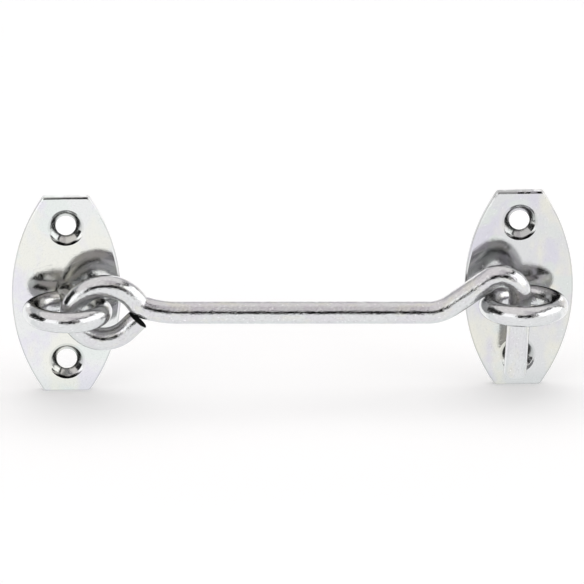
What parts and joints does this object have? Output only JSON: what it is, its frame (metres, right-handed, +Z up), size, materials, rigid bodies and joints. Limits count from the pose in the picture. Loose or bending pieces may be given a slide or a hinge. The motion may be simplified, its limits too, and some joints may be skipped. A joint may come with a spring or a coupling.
{
  "type": "hook and eye latch",
  "caption": "Wire cabin hook with a looped end on a riveted eye, dropping into a second riveted eye. Both eyes stand on barrel-shaped screw plates.",
  "frame": {"origin": "centre of the keep plate's back face, on the wall, on the axis of the keep eye's riveted tail", "axes": "+X from the hook's plate to the keep's plate, +Y into the wall, +Z up"},
  "size_m": [0.1364, 0.0258, 0.0494],
  "materials": {
    "zinc_plate": "satin bright zinc plate on pressed steel",
    "zinc_wire": "polished bright zinc plate on drawn steel wire"
  },
  "bodies": {
    "keep": {"keep_plate": "zinc_plate", "keep_eye": "zinc_wire"},
    "hook_mount": {"hook_plate": "zinc_plate", "hook_plate_eye": "zinc_wire"},
    "hook_arm": {"hook_arm": "zinc_wire"}
  },
  "joints": [
    {"name": "halves_lift_apart", "type": "slide", "parent": "keep", "child": "hook_mount", "axis": [0, 0, 1], "range_m": [0, 0.03]},
    {"name": "hook_lift", "type": "hinge", "parent": "hook_mount", "child": "hook_arm", "pos_m": [-0.1017, -0.015, 0], "axis": [0, -1, 0], "range_deg": [0, 150]}
  ]
}
